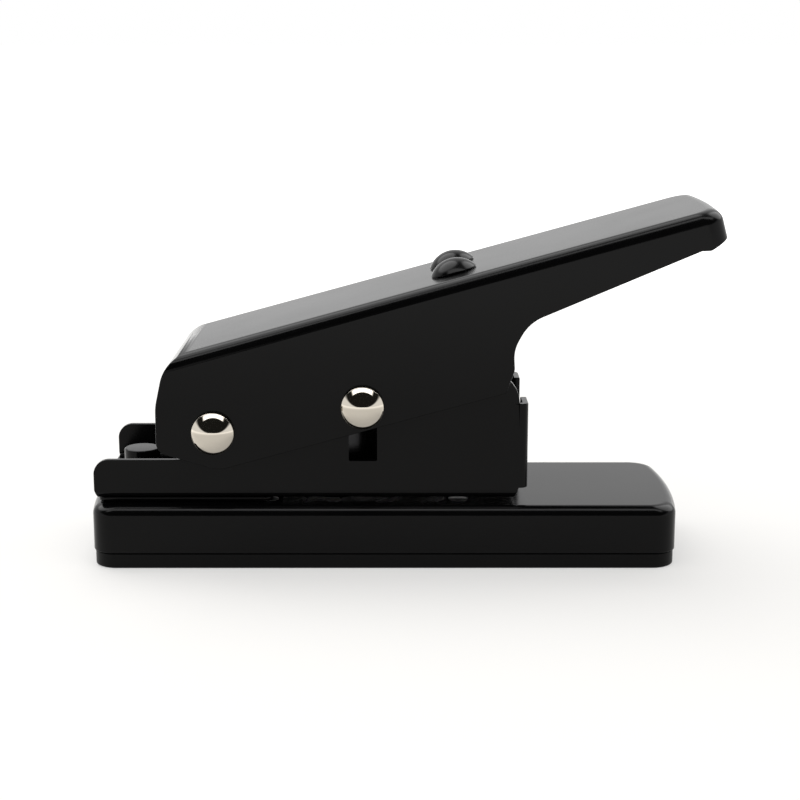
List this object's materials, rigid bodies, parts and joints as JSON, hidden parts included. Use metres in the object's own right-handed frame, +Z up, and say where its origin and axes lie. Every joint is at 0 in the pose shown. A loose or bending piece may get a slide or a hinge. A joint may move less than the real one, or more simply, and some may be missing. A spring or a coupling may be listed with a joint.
{
  "type": "guitar pick punch",
  "caption": "Hand-lever punch on a long flat base: pressing the sprung handle drives a pick-shaped punch through a die, and the cut picks drop into a pull-off tray.",
  "frame": {"origin": "middle of the waste tray's flat underside, on which the punch stands", "axes": "+X runs along the base to the handle's free end, +Y runs across to the far side, +Z is up"},
  "size_m": [0.1482, 0.05, 0.0841],
  "materials": {
    "black_paint": "glossy black enamel on sheet steel",
    "black_plastic": "fine satin black",
    "black_nylon": "satin black",
    "chrome": "polished plating",
    "ground_steel": "fine ground tool steel",
    "plated_steel": "dull zinc plating",
    "spring_steel": "oiled spring wire"
  },
  "bodies": {
    "base": {"base_shell": "black_paint", "die_plate": "ground_steel", "die_rivet_1": "plated_steel", "die_rivet_2": "plated_steel", "die_rivet_3": "plated_steel", "die_rivet_4": "plated_steel", "spacer_plate": "black_paint", "channel": "black_paint", "rear_post": "black_paint", "channel_rivet_1": "black_paint", "channel_rivet_2": "black_paint", "return_spring_near": "spring_steel", "return_spring_far": "spring_steel", "rear_pin": "plated_steel", "rear_cap_near": "chrome", "rear_cap_far": "chrome", "rear_washer_near": "black_nylon", "rear_washer_far": "black_nylon"},
    "handle": {"lever": "black_paint", "spring_post_near": "black_paint", "spring_post_far": "black_paint"},
    "ram": {"punch": "ground_steel", "drive_pin": "plated_steel", "drive_cap_near": "chrome", "drive_cap_far": "chrome", "drive_washer_near": "black_nylon", "drive_washer_far": "black_nylon"},
    "tray": {"waste_tray": "black_plastic"}
  },
  "joints": [
    {"name": "lever_hinge", "type": "hinge", "parent": "base", "child": "handle", "pos_m": [-0.0394, 0, 0.03265], "axis": [0, 1, 0], "range_deg": [0, 16.3], "stiffness_Nm_per_rad": 17, "springref_deg": -6.88, "deforming": ["return_spring_near", "return_spring_far"]},
    {"name": "punch_slide", "type": "slide", "parent": "base", "child": "ram", "axis": [0, 0, -1], "range_m": [0, 0.0099]},
    {"name": "tray_pull", "type": "slide", "parent": "base", "child": "tray", "axis": [0, 0, -1], "range_m": [0, 0.02]}
  ],
  "couplings": [
    {"joint": "punch_slide", "follows": "lever_hinge", "m_per_rad": 0.03472}
  ]
}
